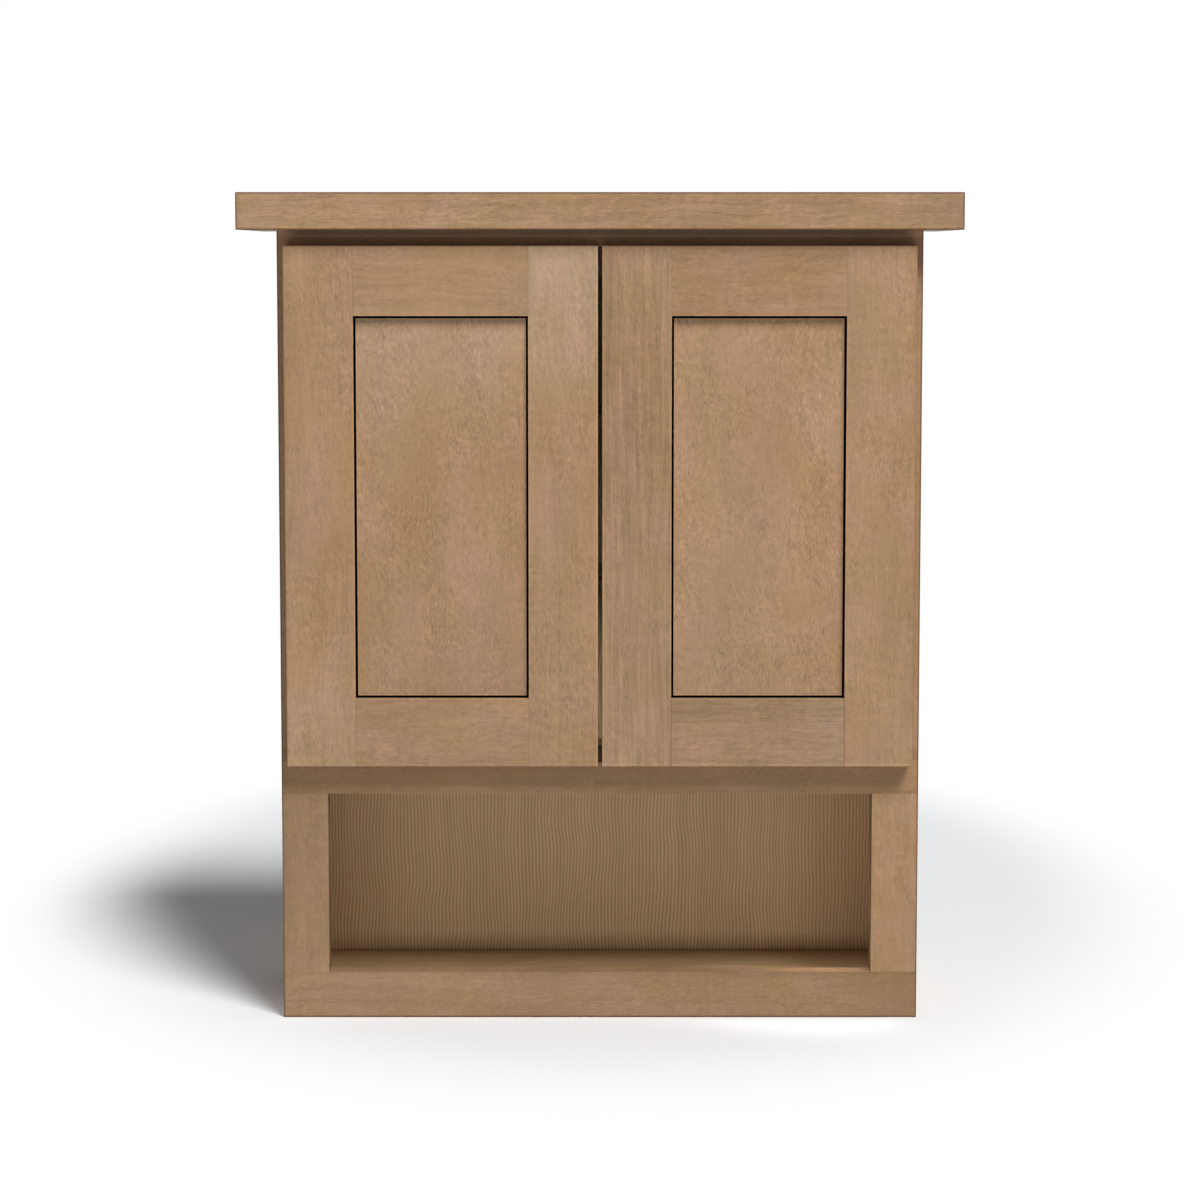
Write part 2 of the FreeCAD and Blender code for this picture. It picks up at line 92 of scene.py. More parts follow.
class Shading:
    def __init__(self, tree):
        self.tree = tree

    def node(self, kind, settings=None, sockets=None, output=0):
        made = self.tree.nodes.new(kind)
        for key, value in (settings or {}).items():
            setattr(made, key, value)
        for key, value in (sockets or {}).items():
            self.plug(made.inputs[key], value)
        return Wire(self, made.outputs[output])

    def plug(self, socket, value):
        if isinstance(value, Wire):
            self.tree.links.new(value.socket, socket)
        else:
            socket.default_value = value

    def mix(self, factor, first, second):
        settings = {"data_type": "RGBA", "clamp_factor": True}
        return self.node("ShaderNodeMix", settings, {0: factor, 6: first, 7: second}, output=2)

    def brighten(self, colour, factor):
        return self.node("ShaderNodeVectorMath", {"operation": "SCALE"}, {0: colour, "Scale": factor})

    def times(self, colour, tint):
        return self.node("ShaderNodeVectorMath", {"operation": "MULTIPLY"}, {0: colour, 1: tint})

    def ramp(self, value, low, high):
        settings = {"interpolation_type": "SMOOTHSTEP"}
        return self.node("ShaderNodeMapRange", settings, {"Value": value, "From Min": low, "From Max": high})

    def near(self, distance, reach):
        # 1 up to the first distance of the reach, falling to 0 at the second
        return 1.0 - self.ramp(distance, *reach)

    def seenDirectly(self):
        seen = self.node("ShaderNodeLightPath", output="Is Camera Ray")
        for name in ("Is Glossy Ray", "Is Transmission Ray"):
            seen = seen.most(self.node("ShaderNodeLightPath", output=name))
        return seen


# noise has little contrast, so it is stretched about its middle to about -1 to 1
noiseSettings = {"roughness": 0.55, "middle": 0.5, "stretch": 6.0}


class Finish(Shading):
    def __init__(self, name):
        self.material = bpy.data.materials.new(name)
        self.material.use_nodes = True
        super().__init__(self.material.node_tree)
        self.place = self.node("ShaderNodeTexCoord", output="Object")

    def surface(self, **sockets):
        shader = self.tree.nodes["Principled BSDF"]
        for key, value in sockets.items():
            self.plug(shader.inputs[key.replace("_", " ")], value)
        return self.material

    def axes(self):
        return [self.node("ShaderNodeSeparateXYZ", sockets={0: self.place}, output=axis) for axis in "XYZ"]

    def turned(self, vector, turn, shift=(0, 0, 0)):
        sockets = {"Vector": vector, "Rotation": turn, "Location": shift}
        return self.node("ShaderNodeMapping", sockets=sockets)

    def swirled(self, vector, size, amount):
        # the place is pushed about by a slow pattern, so that straight figure comes out wavy
        sockets = {"Vector": vector, "Scale": 1 / size, "Detail": 1.0}
        push = self.node("ShaderNodeTexNoise", sockets=sockets, output="Color")
        sockets = {0: push, 1: (amount, amount, amount), 2: vector}
        return self.node("ShaderNodeVectorMath", {"operation": "MULTIPLY_ADD"}, sockets)

    def noise(self, vector, size, detail=1.0, bend=0.0):
        # cloudy pattern with patches of that size along and across the grain
        along, across = size
        sockets = {"Vector": vector, "Scale": (1 / along, 1 / across, 1 / across)}
        drawn = self.node("ShaderNodeMapping", sockets=sockets)
        sockets = {"Vector": drawn, "Scale": 1.0, "Detail": detail, "Distortion": bend}
        sockets["Roughness"] = noiseSettings["roughness"]
        pattern = self.node("ShaderNodeTexNoise", sockets=sockets, output="Fac")
        return noiseSettings["stretch"] * (pattern - noiseSettings["middle"])

    def patches(self, vector, size, levels):
        # 0 where the cloudy pattern is below the first level, 1 where it is above the second
        return self.ramp(self.noise(vector, size), *levels)

    def bump(self, height, strength, depth):
        sockets = {"Height": height, "Strength": strength, "Distance": depth}
        return self.node("ShaderNodeBump", sockets=sockets)


def dress(name, material):
    for slot in nodes[name].material_slots:
        slot.material = material


# Camera, fitted to the photograph's outlines

cameraSettings = {"lens": 100.92, "sensor": 36.0, "place": (0.0, -3.2772, 0.7326), "lookDown": 5.88}


def addCamera(settings):
    data = bpy.data.cameras.new("camera")
    data.lens = settings["lens"]
    data.sensor_width = settings["sensor"]
    camera = bpy.data.objects.new("camera", data)
    camera.location = settings["place"]
    camera.rotation_euler = (math.radians(90 - settings["lookDown"]), 0, 0)
    scene.collection.objects.link(camera)
    scene.camera = camera


addCamera(cameraSettings)
print("camera set")

# Light: a broad soft key from the upper right, two soft boxes in front, faint lamps inside and a white room

keyLight = {"strength": 2.6, "azimuth": 31.0, "elevation": 48.5, "spread": 21.0}
softBoxes = {
    "low_soft_box": {"power": 5.6, "size": (1.8, 0.15), "place": (0, -1.6, 0.125), "aim": (0, 0, 0.3)},
    "top_soft_box": {"power": 2.0, "size": (1.2, 0.8), "place": (0, -1.2, 1.8), "aim": (0, -0.1, 0.7)},
}
# over the right end of the niche floor, which the right stile shades from the key
nicheLamp = {
    "power": 0.056,
    "size": (0.1, 0.02),
    "place": (0.22, -0.055, 0.18),
    "aim": (0.22, -0.047, 0.04),
    "spread": 90.0,
}
# behind the doors, for the back panel that shows through the gap between them
innerLamps = {
    "inner_low": {"power": 0.039, "place": (0, -0.075, 0.29), "aim": (0, 0.1, 0.245)},
    "inner_middle": {"power": 0.0065, "place": (0, -0.075, 0.465), "aim": (0, 0.1, 0.435)},
    "inner_top": {"power": 0.0021, "place": (0, -0.075, 0.65), "aim": (0, 0.1, 0.62)},
}
innerLampShape = {"size": (0.3, 0.01), "spread": 100.0}
# the room is brighter behind the cabinet, up to some height
room = {"strength": 0.085, "rear": 0.5, "rearTurn": (0.1, 0.8), "rearHeight": (0.35, 0.75)}


def addKeyLight(settings):
    data = bpy.data.lights.new("key_light", "SUN")
    data.energy = settings["strength"]
    data.angle = math.radians(settings["spread"])
    lamp = bpy.data.objects.new("key_light", data)
    lamp.rotation_euler = (math.radians(90 - settings["elevation"]), 0, math.radians(settings["azimuth"]))
    scene.collection.objects.link(lamp)


def addLamp(name, power, size, place, aim, spread=180.0):
    data = bpy.data.lights.new(name, "AREA")
    data.shape = "RECTANGLE"
    data.size, data.size_y = size
    data.spread = math.radians(spread)
    data.energy = power
    lamp = bpy.data.objects.new(name, data)
    lamp.location = place
    lamp.rotation_euler = (Vector(aim) - lamp.location).to_track_quat("-Z", "Y").to_euler()
    lamp.visible_camera = False
    scene.collection.objects.link(lamp)


def lightRoom(settings):
    world = bpy.data.worlds.new("room")
    world.use_nodes = True
    scene.world = world
    shading = Shading(world.node_tree)
    direction = shading.node("ShaderNodeTexCoord", output="Generated")
    y, z = [shading.node("ShaderNodeSeparateXYZ", sockets={0: direction}, output=axis) for axis in "YZ"]
    rear = shading.ramp(y, *settings["rearTurn"]) * shading.near(z, settings["rearHeight"])
    strength = settings["strength"] + settings["rear"] * rear
    background = world.node_tree.nodes["Background"]
    shading.plug(background.inputs["Color"], (1, 1, 1, 1))
    shading.plug(background.inputs["Strength"], strength + (1.0 - strength) * shading.seenDirectly())


addKeyLight(keyLight)
for name, settings in softBoxes.items():
    addLamp(name, **settings)
addLamp("niche_lamp", **nicheLamp)
for name, settings in innerLamps.items():
    addLamp(name, **settings, **innerLampShape)
lightRoom(room)
print("light set")

# Floor: pale grey in an oval round the cabinet, turning to white beyond it

floorSettings = {
    "size": 16.0,
    "drop": 0.0003,
    "shown": (1.03, 1.05, 1.065, 1.0),
    "bounced": (0.5, 0.5, 0.5, 1.0),
    "ovalCentre": (0.0, 0.6),
    "ovalReach": (0.68, 1.1),
    "ovalFade": (0.68, 1.0),
}


def floorFinish(settings):
    finish = Finish("white_floor")
    seen = finish.seenDirectly()
    colour = finish.mix(seen, settings["bounced"], settings["shown"])
    grey = finish.node("ShaderNodeBsdfDiffuse", sockets={"Color": colour})
    white = finish.node("ShaderNodeEmission", sockets={"Color": (1, 1, 1, 1), "Strength": 1.0})
    steps = zip(finish.axes(), settings["ovalCentre"], settings["ovalReach"])
    acrossX, acrossY = [(wire - centre) * (1 / reach) for wire, centre, reach in steps]
    reached = (acrossX * acrossX + acrossY * acrossY) ** 0.5
    far = finish.ramp(reached, *settings["ovalFade"]) * seen
    blend = finish.node("ShaderNodeMixShader", sockets={0: far, 1: grey, 2: white})
    finish.plug(finish.tree.nodes["Material Output"].inputs["Surface"], blend)
    return finish.material


def addFloor(settings):
    mesh = bpy.data.meshes.new("floor")
    shape = bmesh.new()
    bmesh.ops.create_grid(shape, x_segments=1, y_segments=1, size=settings["size"] / 2)
    bmesh.ops.translate(shape, verts=shape.verts, vec=(0, 0, -settings["drop"]))
    shape.to_mesh(mesh)
    shape.free()
    mesh.materials.append(floorFinish(settings))
    floor = bpy.data.objects.new("floor", mesh)
    scene.collection.objects.link(floor)


addFloor(floorSettings)
print("floor set")

# Stained maple: each board is cut from its own place in the wood, with the grain along its length

maple = {
    "tan": srgb(170, 139, 105),
    "orange": srgb(172, 135, 96),
    "pink": srgb(179, 142, 113),
    "greyer": (1.19, 1.35, 1.6, 1.0),
    "mark": srgb(104, 74, 50),
    "apart": (0.37, 0.59, 0.83),  # from one board's place in the wood to the next
    "detail": 1.5,
    # width of the painted highlights round the door panels' openings and beside their glaze
    "wornWidth": 0.0014,
    "roughness": 0.5,
    "roughnessSwing": 0.03,
    "gloss": 0.2,
    "relief": 0.1,
    "reliefDepth": 0.0002,
}
# patches of each figure along and across the grain
figureSizes = {
    "cloud": (0.16, 0.07),
    "band": (0.22, 0.01),
    "streak": (0.06, 0.0026),
    "mottle": (0.0095, 0.0042),
    "ripple": (0.006, 0.024),
    "fleck": (0.0046, 0.0013),
}
# how far each figure lightens and darkens the wood, how wavy the grain is, how patchy the fine figure is,
# and how strong the dark marks, the pale glints and the dark hairs are
figures = {
    "panel": {
        "cloud": 0.05, "band": 0.02, "streak": 0.03, "mottle": 0.065, "ripple": 0.03, "fleck": 0.095,
        "wave": 0.022, "waveSize": 0.05, "patchy": 0.4, "marks": 0.22, "glints": 0.1, "glintLength": 0.006,
        "hairs": 0.13,
    },
    "stile": {
        "cloud": 0.05, "band": 0.035, "streak": 0.045, "mottle": 0.048, "ripple": 0.03, "fleck": 0.075,
        "wave": 0.015, "waveSize": 0.08, "patchy": 0.3, "marks": 0.18, "glints": 0.08, "glintLength": 0.007,
        "hairs": 0.1,
    },
    "streaky": {
        "cloud": 0.05, "band": 0.06, "streak": 0.1, "mottle": 0.05, "ripple": 0.02, "fleck": 0.07,
        "wave": 0.006, "waveSize": 0.1, "patchy": 0.25, "marks": 0.15, "glints": 0.09, "glintLength": 0.012,
        "hairs": 0.08,
    },
    "calm": {
        "cloud": 0.065, "band": 0.04, "streak": 0.042, "mottle": 0.052, "ripple": 0.03, "fleck": 0.06,
        "wave": 0.02, "waveSize": 0.08, "patchy": 0.3, "marks": 0.12, "glints": 0.07, "glintLength": 0.009,
        "hairs": 0.08,
    },
    "wavy": {
        "cloud": 0.05, "band": 0.05, "streak": 0.09, "mottle": 0.055, "ripple": 0.04, "fleck": 0.07,
        "wave": 0.01, "waveSize": 0.05, "patchy": 0.3, "marks": 0.12, "glints": 0.17, "glintLength": 0.016,
        "hairs": 0.05,
    },
}
fineFigures = ("mottle", "ripple", "fleck")
lean = {"mottle": (0, 0.35, 0), "fleck": (0, -0.15, 0), "hairs": (0, 0.06, 0)}
turnToGrain = {0: (0, 0, 0), 1: (0, 0, -math.pi / 2), 2: (0, math.pi / 2, 0)}
# where the fine figure is lively, where the stain is warmer and pinker, and where single marks show
patterns = {
    "lively": {"size": (0.075, 0.045), "levels": (-1.2, 1.3)},
    "warm": {"size": (0.2, 0.09), "middle": 0.5, "swing": 0.4, "detail": 1.0},
    "pink": {"size": (0.055, 0.035), "middle": 0.3, "swing": 0.36, "detail": 0.5},
    "glints": {"width": 0.0016, "levels": (0.6, 1.4)},
    "hairs": {"size": (0.04, 0.0017), "levels": (0.7, 1.3)},
    "marks": {"size": (0.007, 0.0024), "levels": (1.0, 1.5)},
}


def grainAxis(low, high):
    sizes = high - low
    return max(range(3), key=lambda axis: sizes[axis])


def stainShare(finish, vector, settings):
    pattern = finish.noise(vector, settings["size"], settings["detail"])
    return settings["middle"] + settings["swing"] * pattern


def mapleWood(finish, axis, seed, figure):
    # the wood's colour, and the wires of its figures
    shift = [step * seed for step in maple["apart"]]
    straight = finish.turned(finish.place, turnToGrain[axis], shift)
    grain = finish.swirled(straight, figure["waveSize"], figure["wave"])
    lively = 1.0 - figure["patchy"] + 2 * figure["patchy"] * finish.patches(straight, **patterns["lively"])
    shade = 1.0
    wires = {}
    for name, size in figureSizes.items():
        vector = finish.turned(grain, lean[name]) if name in lean else grain
        wires[name] = finish.noise(vector, size, maple["detail"])
        share = figure[name] * wires[name]
        shade = shade + (lively * share if name in fineFigures else share)
    glintSize = (figure["glintLength"], patterns["glints"]["width"])
    glints = finish.patches(grain, glintSize, patterns["glints"]["levels"])
    hairs = finish.patches(finish.turned(grain, lean["hairs"]), **patterns["hairs"])
    shade = shade + figure["glints"] * lively * glints - figure["hairs"] * lively * hairs
    colour = finish.mix(stainShare(finish, straight, patterns["warm"]), maple["tan"], maple["orange"])
    colour = finish.mix(stainShare(finish, grain, patterns["pink"]), colour, maple["pink"])
    marks = finish.patches(grain, **patterns["marks"])
    colour = finish.mix(figure["marks"] * lively * marks, finish.brighten(colour, shade), maple["mark"])
    return colour, wires


def sanded(finish, colour, wires, figure, **sockets):
    # a sanded surface, whose gloss and relief follow that figure
    roughness = maple["roughness"] + maple["roughnessSwing"] * wires[figure]
    normal = finish.bump(wires[figure] + wires["fleck"], maple["relief"], maple["reliefDepth"])
    return finish.surface(
        Base_Color=colour, Roughness=roughness, Specular_IOR_Level=maple["gloss"], Normal=normal, **sockets
    )


# each board's figure; its brightness at its left or lower end and at the other end, partly the board's own
# tone and partly painted shade, as the doors' darker lower ends where the light falls off, the left lower
# stile's darker top in the doors' shadow and the middle rail darker all along under the doors; the end where
# the stain came out greyer, 0 for left or lower, with the strength of that; and any warmer tint, which on
# the middle rail is painted for the colour of its shade
boardLooks = {
    "crown_front": {"figure": "wavy", "tone": (0.97, 0.95), "greyerEnd": (0, 0.2)},
    "crown_left": {"figure": "wavy"},
    "crown_right": {"figure": "wavy"},
    "face_frame_top_rail": {"tone": (0.95, 0.95)},
    "face_frame_middle_rail": {"tone": (0.85, 0.85), "warmer": (1.0, 0.965, 0.89)},
    "face_frame_bottom_rail": {"tone": (0.86, 0.69)},
    "face_frame_left_lower_stile": {"tone": (0.84, 0.69)},
    "face_frame_right_lower_stile": {"tone": (0.92, 0.91)},
    "left_door_hinge_stile": {"figure": "stile", "tone": (0.88, 1.0), "greyerEnd": (0, 0.3)},
    "left_door_meeting_stile": {"figure": "stile", "tone": (0.85, 1.06), "greyerEnd": (1, 0.5)},
    "left_door_bottom_rail": {"tone": (0.85, 0.85)},
    "left_door_panel": {"figure": "panel", "tone": (0.86, 1.01), "greyerEnd": (1, 0.4)},
    "right_door_hinge_stile": {"figure": "stile", "tone": (0.9, 1.04)},
    "right_door_meeting_stile": {"figure": "streaky", "tone": (0.8, 0.9), "greyerEnd": (0, 0.3)},
    "right_door_top_rail": {"tone": (0.93, 0.93)},
    "right_door_bottom_rail": {"figure": "wavy", "tone": (0.78, 0.78), "greyerEnd": (1, 0.3)},
    "right_door_panel": {"figure": "panel", "tone": (0.9, 1.04)},
}
plainBoard = {"figure": "calm", "tone": (1.0, 1.0)}
greyerShare = (0.0, 0.5)  # of the board's length, over which the greyer end fades


def boardWood(finish, name, seed):
    low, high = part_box(name)
    axis = grainAxis(low, high)
    look = plainBoard | boardLooks.get(name, {})
    colour, wires = mapleWood(finish, axis, seed, figures[look["figure"]])
    share = (finish.axes()[axis] - low[axis]) * (1 / (high[axis] - low[axis]))
    if "greyerEnd" in look:
        end, strength = look["greyerEnd"]
        greyer = strength * finish.near(abs(share - end), greyerShare)
        colour = finish.times(colour, finish.mix(greyer, (1, 1, 1, 1), maple["greyer"]))
    # a warmer tint, painted on the middle rail for the colour of its shade
    if "warmer" in look:
        colour = finish.times(colour, look["warmer"])
    # brightness along the board, partly its own tone and partly painted shade
    first, last = look["tone"]
    return finish.brighten(colour, first + (last - first) * share), wires


# Solid boards: face frame, crown, door frames, top board and shelf edgings

boards = [
    name
    for name in sorted(nodes)
    if name.endswith(("_stile", "_rail", "_edging", "top_board")) and "hanging" not in name
]
boards += ["crown_front", "crown_left", "crown_right"]
# darker edges of each group of boards
arris = {
    "colour": srgb(96, 56, 26),
    "reach": (0.0, 0.0025),
    "strength": {"crown": 0.85, "face_frame": 0.85, "left_door": 0.2, "right_door": 0.2},
}


def groupBox(group):
    boxes = [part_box(name) for name in boards if name.startswith(group)]
    low = Vector([min(box[0][axis] for box in boxes) for axis in range(3)])
    high = Vector([max(box[1][axis] for box in boxes) for axis in range(3)])
    return low, high


def edgeDistance(finish, low, high):
    # the middle one of the distances to the three pairs of faces is the distance to the nearest edge
    middle = (low + high) / 2
    half = (high - low) / 2
    gaps = [half[axis] - abs(wire - middle[axis]) for axis, wire in enumerate(finish.axes())]
    return gaps[0].least(gaps[1]).most(gaps[0].most(gaps[1]).least(gaps[2]))


def darkerArris(finish, name, colour, settings):
    for group, strength in settings["strength"].items():
        if name.startswith(group):
            edge = finish.near(edgeDistance(finish, *groupBox(group)), settings["reach"])
            colour = finish.mix(strength * edge, colour, settings["colour"])
    return colour


# Door frames: painted highlights on the edges round the panel and along the gap, a pale hem, painted shadow
# of the crown along the top, and fine joint lines

doorFrame = {
    "worn": 0.28,
    "hem": {"left": 0.1, "right": 0.2},
    "hemReach": (0.0014, 0.0042),
    "topDarker": 0.12,
    "topReach": (0.006, 0.018),
    "gapPaler": 0.32,
    "gapReach": (0.0008, 0.0024),
    "joint": srgb(96, 74, 55),
    "jointReach": (0.0, 0.0009),
    "upperJoints": 0.22,
    "lowerJoints": {"left": 0.2, "right": 0.6},
}


def panelOpening(door):
    stiles = [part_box(door + name) for name in ("hinge_stile", "meeting_stile")]
    left, right = sorted(corner.x for box in stiles for corner in box)[1:3]
    return left, right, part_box(door + "bottom_rail")[1].z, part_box(door + "top_rail")[0].z


def beyondOpening(finish, door):
    # how far a place lies beyond the sides and beyond the ends of the panel's opening, below zero inside it
    left, right, bottom, top = panelOpening(door)
    x, _, z = finish.axes()
    beyondSides = abs(x - (left + right) / 2) - (right - left) / 2
    beyondEnds = abs(z - (bottom + top) / 2) - (top - bottom) / 2
    return beyondSides, beyondEnds


def doorFrameEdges(finish, side, colour, settings):
    door = side + "_door_"
    low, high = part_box(door + "hinge_stile")
    x, _, z = finish.axes()
    beyondSides, beyondEnds = beyondOpening(finish, door)
    # painted highlight along the edges round the panel opening
    worn = finish.near(abs(beyondSides.most(beyondEnds)), (0.0, maple["wornWidth"]))
    colour = finish.brighten(colour, 1.0 + settings["worn"] * worn)
    hem = finish.near(z - low.z, settings["hemReach"])
    colour = finish.brighten(colour, 1.0 + settings["hem"][side] * hem)
    # painted shadow of the crown along the doors' top
    top = finish.near(high.z - z, settings["topReach"])
    colour = finish.brighten(colour, 1.0 - settings["topDarker"] * top)
    # painted highlight along the doors' meeting edges at the gap
    gapX = min((corner.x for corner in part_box(door + "meeting_stile")), key=abs)
    gap = finish.near(abs(x - gapX), settings["gapReach"])
    colour = finish.brighten(colour, 1.0 + settings["gapPaler"] * gap)
    upper = z > (low.z + high.z) / 2
    lowerJoint = settings["lowerJoints"][side]
    strength = lowerJoint + (settings["upperJoints"] - lowerJoint) * upper
    joint = finish.near(abs(beyondSides), settings["jointReach"]) * (beyondEnds > 0.0)
    return finish.mix(strength * joint, colour, settings["joint"])


# Face frame: painted shade under the crown, behind the closed doors and on most edges round the niche; the
# bottom rail is darker along its top edge

faceFrame = {
    "underCrown": 0.55,
    "crownDrop": (0.0035, 0.0075),
    "crownEnds": (0.283, 0.303),  # the dark under the crown fades out towards its ends
    "behindDoors": 0.6,
    "doorInset": 0.001,
    "nicheSides": 0.45,
    "nicheSideReach": 0.0003,
    "nicheRails": {"face_frame_bottom_rail": 0.1, "face_frame_middle_rail": 0.16},
    "nicheRailReach": (0.0, 0.008),
}


# painted shade on the top rail in the corner under the crown
def paintShadeUnderCrown(finish, colour, settings):
    x, _, z = finish.axes()
    drop = finish.near(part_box("crown_front")[0].z - z, settings["crownDrop"])
    between = finish.near(abs(x), settings["crownEnds"])
    return finish.brighten(colour, 1.0 - settings["underCrown"] * drop * between)


# painted shade on the face frame where the closed doors cover it
def paintShadeBehindDoors(finish, colour, settings):
    low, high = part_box("left_door_hinge_stile")
    inset = settings["doorInset"]
    x, _, z = finish.axes()
    beyondSides = abs(x) > abs(low.x) - inset
    beyondEnds = abs(z - (low.z + high.z) / 2) > (high.z - low.z) / 2 - inset
    covered = 1.0 - beyondSides.most(beyondEnds)
    return finish.brighten(colour, 1.0 - settings["behindDoors"] * covered)


def darkerRoundNiche(finish, name, colour, settings):
    low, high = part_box(name)
    x, _, z = finish.axes()
    # painted shade on the lower stiles' inner faces towards the niche
    if name.endswith("lower_stile"):
        inner = min(abs(low.x), abs(high.x)) + settings["nicheSideReach"]
        side = 1.0 - (abs(x) > inner)
        colour = finish.brighten(colour, 1.0 - settings["nicheSides"] * side)
    # the middle rail darker along its lower edge, painted shade of the doors carried down to it; the bottom
    # rail darker along its top edge
    if name in settings["nicheRails"]:
        level = high.z if "bottom" in name else low.z
        edge = finish.near(abs(z - level), settings["nicheRailReach"])
        colour = finish.brighten(colour, 1.0 - settings["nicheRails"][name] * edge)
    return colour


def mapleBoard(name, seed):
    finish = Finish("stained_maple_" + name)
    colour, wires = boardWood(finish, name, seed)
    colour = darkerArris(finish, name, colour, arris)
    if "_door_" in name:
        colour = doorFrameEdges(finish, name.split("_door_")[0], colour, doorFrame)
    if name.startswith("face_frame"):
        colour = paintShadeUnderCrown(finish, colour, faceFrame)
        colour = paintShadeBehindDoors(finish, colour, faceFrame)
        colour = darkerRoundNiche(finish, name, colour, faceFrame)
    return sanded(finish, colour, wires, "streak")


for seed, name in enumerate(boards):
    dress(name, mapleBoard(name, seed))
print("dressed", len(boards), "maple boards")

# Door panels: a dark glaze in the groove round the opening, a painted highlight beside it, and painted
# shadow of the top rail along the top

doorPanel = {
    "firstSeed": 40,
    "glaze": srgb(4, 3, 3),
    "glazeWidth": 0.0023,
    "worn": 0.14,
    "topDarker": 0.15,
    "topReach": (0.008, 0.018),
}


def doorPanelFinish(side, seed, settings):
    door = side + "_door_"
    low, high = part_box(door + "panel")
    finish = Finish("stained_maple_" + door + "panel")
    colour, wires = boardWood(finish, door + "panel", seed)
    beyondSides, beyondEnds = beyondOpening(finish, door)
    inwards = -1.0 * beyondSides.most(beyondEnds)
    width = settings["glazeWidth"]
    # painted highlight beside the glaze
    worn = finish.near(inwards, (width, width + maple["wornWidth"]))
    colour = finish.brighten(colour, 1.0 + settings["worn"] * worn)
    _, y, z = finish.axes()
    # painted shadow of the door's top rail on the recessed panel
    openingTop = panelOpening(door)[3]
    top = finish.near(openingTop - z, settings["topReach"])
    colour = finish.brighten(colour, 1.0 - settings["topDarker"] * top)
    front = 1.0 - (y > (low.y + high.y) / 2)
    glazed = front * (1.0 - (inwards > width))
    colour = finish.mix(glazed, colour, settings["glaze"])
    return sanded(finish, colour, wires, "mottle", Metallic=glazed)  # a black metal gives back no light


for seed, side in enumerate(("left", "right"), doorPanel["firstSeed"]):
    dress(side + "_door_panel", doorPanelFinish(side, seed, doorPanel))
print("dressed the door panels")

# Veneered plywood: stained maple faces, paler inside, partly a paler veneer and partly painted light, with
# the plies showing on the cut edges

plywood = {
    "firstSeed": 60,
    "figure": "stile",
    "veneer": 0.0007,
    "ply": 0.0021,
    "light": srgb(196, 160, 116),
    "dark": srgb(150, 112, 74),
    "plyFleck": 0.08,
    "inside": 1.35,
}
nicheFloor = {"figure": "streaky", "tint": (0.79, 0.857, 0.83)}
# the axis across each panel's thickness
veneered = {
    "left_side_panel": 0,
    "right_side_panel": 0,
    "bottom_deck": 2,
    "middle_deck": 2,
    "top_deck": 2,
    "lower_shelf_board": 2,
    "upper_shelf_board": 2,
}


def plywoodFinish(name, across, seed, settings):
    low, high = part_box(name)
    finish = Finish("veneered_plywood_" + name)
    isNicheFloor = name == "bottom_deck"
    figure = nicheFloor["figure"] if isNicheFloor else settings["figure"]
    colour, wires = mapleWood(finish, grainAxis(low, high), seed, figures[figure])
    if isNicheFloor:
        colour = finish.times(colour, nicheFloor["tint"])
    level = finish.axes()[across]
    middle = (low[across] + high[across]) / 2
    if across == 0:
        # the face towards the middle of the cabinet, paler partly as veneer and partly as painted light
        inside = level > middle if middle < 0 else 1.0 - (level > middle)
        colour = finish.brighten(colour, 1.0 + (settings["inside"] - 1.0) * inside)
    depth = (high[across] - low[across]) / 2 - abs(level - middle)
    ply = (level - low[across]).remainder(2 * settings["ply"]) > settings["ply"]
    core = finish.mix(ply, settings["light"], settings["dark"])
    core = finish.brighten(core, 1.0 + settings["plyFleck"] * wires["fleck"])
    colour = finish.mix(depth > settings["veneer"], colour, core)
    return sanded(finish, colour, wires, "streak")


for seed, (name, across) in enumerate(veneered.items(), plywood["firstSeed"]):
    dress(name, plywoodFinish(name, across, seed, plywood))
print("dressed", len(veneered), "plywood panels")

# Back panel: fine wavy upright stripes in front, plain wood behind

backPanel = {
    "period": 0.0034,
    "light": srgb(226, 196, 153),
    "dark": srgb(186, 156, 117),
    "plain": srgb(204, 172, 132),
    "sway": 0.0016,
    "swaySize": (0.06, 0.06),
    "shiver": 0.0003,
    "shiverSize": (0.012, 0.02),
    "fleck": 0.03,
    "fleckSize": (0.006, 0.0012),
    "band": 0.05,
    "bandSize": (0.2, 0.012),
    "bandDetail": 3.0,
    "footDarker": 0.45,  # a dark line in the corner above the niche floor
    "footReach": (0.0006, 0.002),
    "relief": 0.1,
    "reliefDepth": 0.0001,
}


def backPanelFinish(settings):
    low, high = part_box("back_panel")
    finish = Finish("striped_back_veneer")
    x, y, z = finish.axes()
    sway = finish.noise(finish.place, settings["swaySize"], 0.0)
    shiver = finish.noise(finish.place, settings["shiverSize"])
    drift = x + settings["sway"] * sway + settings["shiver"] * shiver
    wave = (drift * (2 * math.pi / settings["period"])).sine()
    colour = finish.mix(0.5 + 0.5 * wave, settings["dark"], settings["light"])
    colour = finish.mix(y > (low.y + high.y) / 2, colour, settings["plain"])
    grain = finish.turned(finish.place, turnToGrain[2])
    fleck = finish.noise(grain, settings["fleckSize"])
    band = finish.noise(grain, settings["bandSize"], settings["bandDetail"])
    colour = finish.brighten(colour, 1.0 + settings["fleck"] * fleck + settings["band"] * band)
    foot = finish.near(abs(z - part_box("bottom_deck")[1].z), settings["footReach"])
    colour = finish.brighten(colour, 1.0 - settings["footDarker"] * foot)
    roughness = maple["roughness"] + maple["roughnessSwing"] * fleck
    normal = finish.bump(wave, settings["relief"], settings["reliefDepth"])
    return finish.surface(
        Base_Color=colour, Roughness=roughness, Specular_IOR_Level=maple["gloss"], Normal=normal
    )


dress("back_panel", backPanelFinish(backPanel))
print("dressed the back panel")

# Bare wood: hanging rails, dowels and splines, with the grain along X

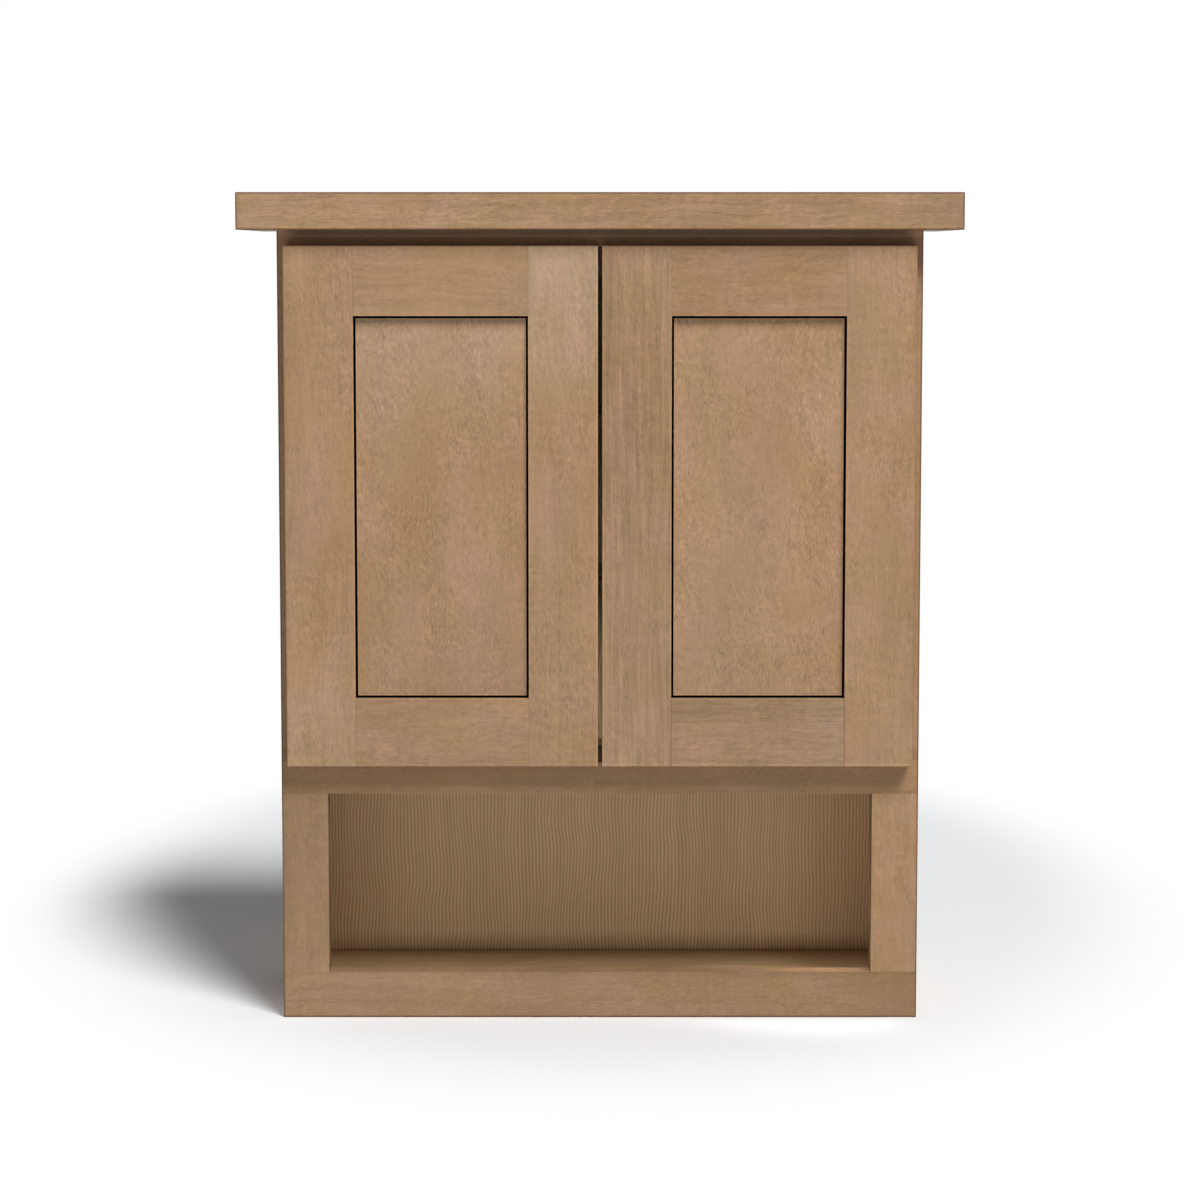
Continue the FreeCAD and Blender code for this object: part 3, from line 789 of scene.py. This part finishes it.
bareWood = {
    "light": srgb(214, 182, 138),
    "dark": srgb(186, 150, 106),
    "shift": (0.3, 0.1, 0.2),
    "rings": 0.35,
    "ringSize": (0.25, 0.007),
    "ringDetail": 3.0,
    "ringBend": 0.4,
    "fleck": 0.1,
    "fleckSize": (0.006, 0.0009),
    "roughness": 0.7,
    "roughnessSwing": 0.04,
    "gloss": 0.3,
    "relief": 0.15,
    "reliefDepth": 0.0003,
}


def bareWoodFinish(name, settings):
    finish = Finish("bare_wood_" + name)
    grain = finish.turned(finish.place, turnToGrain[0], settings["shift"])
    rings = finish.noise(grain, settings["ringSize"], settings["ringDetail"], settings["ringBend"])
    fleck = finish.noise(grain, settings["fleckSize"])
    paler = 0.5 + settings["rings"] * rings + settings["fleck"] * fleck
    return finish.surface(
        Base_Color=finish.mix(paler, settings["dark"], settings["light"]),
        Roughness=settings["roughness"] + settings["roughnessSwing"] * fleck,
        Specular_IOR_Level=settings["gloss"],
        Normal=finish.bump(rings + fleck, settings["relief"], settings["reliefDepth"]),
    )


for name in ("upper_hanging_rail", "lower_hanging_rail", "top_dowels", "crown_splines"):
    dress(name, bareWoodFinish(name, bareWood))
print("dressed the bare wood")

# Metal: nickel-plated hinges and pins, zinc screws

metals = {
    "nickel_plate": {"colour": srgb(196, 192, 184), "shade": srgb(168, 163, 154), "roughness": 0.27},
    "zinc_screws": {"colour": srgb(182, 184, 186), "shade": srgb(150, 150, 148), "roughness": 0.36},
}
# cloudy plating, finely brushed
plating = {
    "cloud": 0.4,
    "cloudSize": (0.012, 0.012),
    "cloudDetail": 3.0,
    "brushSize": (0.02, 0.0006),
    "cloudRoughness": 0.05,
    "brushRoughness": 0.02,
    "relief": 0.06,
    "reliefDepth": 0.0001,
}


def metalFinish(name, settings):
    finish = Finish(name)
    cloud = finish.noise(finish.place, plating["cloudSize"], plating["cloudDetail"])
    brushed = finish.noise(finish.place, plating["brushSize"])
    swing = plating["cloudRoughness"] * cloud + plating["brushRoughness"] * brushed
    return finish.surface(
        Base_Color=finish.mix(0.5 + plating["cloud"] * cloud, settings["shade"], settings["colour"]),
        Metallic=1.0,
        Roughness=settings["roughness"] + swing,
        Normal=finish.bump(brushed, plating["relief"], plating["reliefDepth"]),
    )


metalFinishes = {name: metalFinish(name, settings) for name, settings in metals.items()}
for name in nodes:
    if name.endswith(("_screws", "_hinge_pin")):
        dress(name, metalFinishes["zinc_screws"])
    elif name.endswith(("_hinge_arm", "_hinge_cup", "shelf_pins")):
        dress(name, metalFinishes["nickel_plate"])
print("dressed the metal")

# Soft pieces: clear door bumpers and dark panel spacers

softPieces = {
    "bumpers": {"light": srgb(224, 222, 214), "dark": srgb(196, 193, 182), "roughness": 0.35},
    "panel_spacers": {"light": srgb(62, 60, 58), "dark": srgb(40, 39, 38), "roughness": 0.75},
}
softClouds = {"cloud": 0.4, "size": (0.003, 0.003), "detail": 3.0, "roughnessSwing": 0.06}


def softFinish(name, settings):
    finish = Finish(name)
    cloud = finish.noise(finish.place, softClouds["size"], softClouds["detail"])
    return finish.surface(
        Base_Color=finish.mix(0.5 + softClouds["cloud"] * cloud, settings["dark"], settings["light"]),
        Roughness=settings["roughness"] + softClouds["roughnessSwing"] * cloud,
    )


for name, settings in softPieces.items():
    material = softFinish("door_" + name, settings)
    for side in ("left", "right"):
        dress(side + "_door_" + name, material)
print("dressed the soft pieces")
